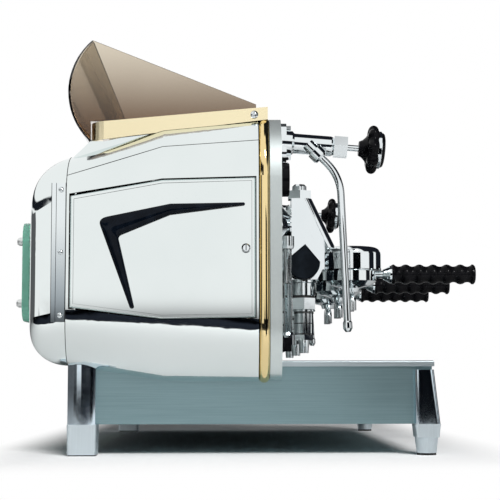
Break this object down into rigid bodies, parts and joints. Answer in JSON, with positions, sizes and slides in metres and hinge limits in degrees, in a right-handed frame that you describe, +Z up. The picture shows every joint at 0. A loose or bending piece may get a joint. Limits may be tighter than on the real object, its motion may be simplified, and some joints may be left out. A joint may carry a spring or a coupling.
{
  "type": "espresso machine",
  "caption": "Counter-top lever-valve espresso machine with rounded polished body, brew groups with portafilters, steam wands, drip tray and railed cup warmer.",
  "frame": {"origin": "centre of the overall box, at the bottom of the feet", "axes": "+Z up, -Y towards the barista, +X to the barista's right along the row of groups"},
  "size_m": [0.952, 0.6744, 0.57],
  "materials": {
    "polished_steel": "mirror polished",
    "brushed_steel": "brushed",
    "grey_panel": "satin",
    "brass": "polished",
    "copper": "bare copper",
    "black_plastic": "gloss",
    "black_lever": "satin",
    "grey_foot": "cast, satin",
    "rubber": "matt",
    "smoked_acrylic": "clear smoked acrylic",
    "green_glass": "polished edge",
    "clear_glass": "clear",
    "pale_caps": "satin",
    "motor_grey": "painted"
  },
  "bodies": {
    "machine": {"right_shell": "polished_steel", "left_shell": "polished_steel", "top_cover": "polished_steel", "rear_cover": "polished_steel", "seam_strips": "brushed_steel", "cover_screws": "polished_steel", "front_panel": "grey_panel", "trim_ring": "brass", "base_frame": "brushed_steel", "legs": "polished_steel", "feet": "grey_foot", "foot_pads": "rubber", "drip_pan": "brushed_steel", "tray_rim": "polished_steel", "cup_rail": "brass", "cup_tray": "polished_steel", "cup_guard": "smoked_acrylic", "rear_glass": "green_glass", "glass_spacers": "pale_caps", "group_bodies": "polished_steel", "group_nuts": "polished_steel", "group_chambers": "polished_steel", "group_gaskets": "rubber", "shower_screens": "polished_steel", "steam_valves": "polished_steel", "gauge_case": "black_plastic", "gauge_glass": "clear_glass", "sight_glass_fittings": "polished_steel", "sight_glass_tube": "clear_glass", "boiler": "copper", "heating_element": "copper", "boiler_fittings": "brass", "pump_motor": "motor_grey", "pipework": "copper", "control_box": "brushed_steel", "service_fittings": "brass"},
    "left_door": {"left_door": "polished_steel", "left_door_trim": "black_plastic"},
    "left_lock": {"left_door_lock": "polished_steel"},
    "left_steam_knob": {"left_steam_knob": "black_plastic", "left_steam_spindle": "polished_steel"},
    "left_steam_wand": {"left_steam_wand": "polished_steel"},
    "right_door": {"right_door": "polished_steel", "right_door_trim": "black_plastic"},
    "right_lock": {"right_door_lock": "polished_steel"},
    "right_steam_knob": {"right_steam_knob": "black_plastic", "right_steam_spindle": "polished_steel"},
    "right_steam_wand": {"right_steam_wand": "polished_steel"},
    "portafilter_1": {"portafilter_1": "polished_steel", "portafilter_handle_1": "black_plastic"},
    "lever_1": {"lever_1": "black_lever"},
    "portafilter_2": {"portafilter_2": "polished_steel", "portafilter_handle_2": "black_plastic"},
    "lever_2": {"lever_2": "black_lever"},
    "portafilter_3": {"portafilter_3": "polished_steel", "portafilter_handle_3": "black_plastic"},
    "lever_3": {"lever_3": "black_lever"},
    "drip_grid": {"drip_grid": "polished_steel"},
    "gauge_needle": {"gauge_needle": "black_plastic"},
    "main_switch": {"main_switch": "black_plastic"}
  },
  "joints": [
    {"name": "left_door_hinge", "type": "hinge", "parent": "machine", "child": "left_door", "pos_m": [-0.4645, 0.23825, 0.272], "axis": [0, 0, -1], "range_deg": [0, 105]},
    {"name": "left_lock_turn", "type": "hinge", "parent": "left_door", "child": "left_lock", "pos_m": [-0.468, 0.00985, 0.2766], "axis": [1, 0, 0], "range_deg": [0, 90]},
    {"name": "left_steam_turn", "type": "hinge", "parent": "machine", "child": "left_steam_knob", "pos_m": [-0.388, -0.16636, 0.42396], "axis": [0, -0.9969, -0.0785], "range_deg": [0, 540]},
    {"name": "left_wand_swing", "type": "hinge", "parent": "machine", "child": "left_steam_wand", "pos_m": [-0.404, -0.09275, 0.413], "axis": [0, -0.7071, -0.7071], "range_deg": [-60, 20]},
    {"name": "right_door_hinge", "type": "hinge", "parent": "machine", "child": "right_door", "pos_m": [0.4645, 0.23825, 0.272], "axis": [0, 0, 1], "range_deg": [0, 105]},
    {"name": "right_lock_turn", "type": "hinge", "parent": "right_door", "child": "right_lock", "pos_m": [0.468, 0.00985, 0.2766], "axis": [1, 0, 0], "range_deg": [0, 90]},
    {"name": "right_steam_turn", "type": "hinge", "parent": "machine", "child": "right_steam_knob", "pos_m": [0.388, -0.16636, 0.42396], "axis": [0, -0.9969, -0.0785], "range_deg": [0, 540]},
    {"name": "right_wand_swing", "type": "hinge", "parent": "machine", "child": "right_steam_wand", "pos_m": [0.404, -0.09275, 0.413], "axis": [0, -0.7071, -0.7071], "range_deg": [-20, 60]},
    {"name": "portafilter_1_lock", "type": "hinge", "parent": "machine", "child": "portafilter_1", "pos_m": [-0.24, -0.15075, 0.26], "axis": [0, 0, 1], "range_deg": [-50, 0]},
    {"name": "lever_1_turn", "type": "hinge", "parent": "machine", "child": "lever_1", "pos_m": [-0.24, -0.07735, 0.273], "axis": [1, 0, 0], "range_deg": [0, 90]},
    {"name": "portafilter_2_lock", "type": "hinge", "parent": "machine", "child": "portafilter_2", "pos_m": [0, -0.15075, 0.26], "axis": [0, 0, 1], "range_deg": [-50, 0]},
    {"name": "lever_2_turn", "type": "hinge", "parent": "machine", "child": "lever_2", "pos_m": [0, -0.07735, 0.273], "axis": [1, 0, 0], "range_deg": [0, 90]},
    {"name": "portafilter_3_lock", "type": "hinge", "parent": "machine", "child": "portafilter_3", "pos_m": [0.24, -0.15075, 0.26], "axis": [0, 0, 1], "range_deg": [-50, 0]},
    {"name": "lever_3_turn", "type": "hinge", "parent": "machine", "child": "lever_3", "pos_m": [0.24, -0.07735, 0.273], "axis": [1, 0, 0], "range_deg": [0, 90]},
    {"name": "drip_grid_lift", "type": "slide", "parent": "machine", "child": "drip_grid", "axis": [0, 0, 1], "range_m": [0, 0.012]},
    {"name": "gauge_needle_turn", "type": "hinge", "parent": "machine", "child": "gauge_needle", "pos_m": [-0.388, -0.04275, 0.381], "axis": [0, 1, 0], "range_deg": [-120, 120]},
    {"name": "main_switch_turn", "type": "hinge", "parent": "machine", "child": "main_switch", "pos_m": [-0.388, -0.04375, 0.15], "axis": [0, 1, 0], "range_deg": [0, 90]}
  ]
}
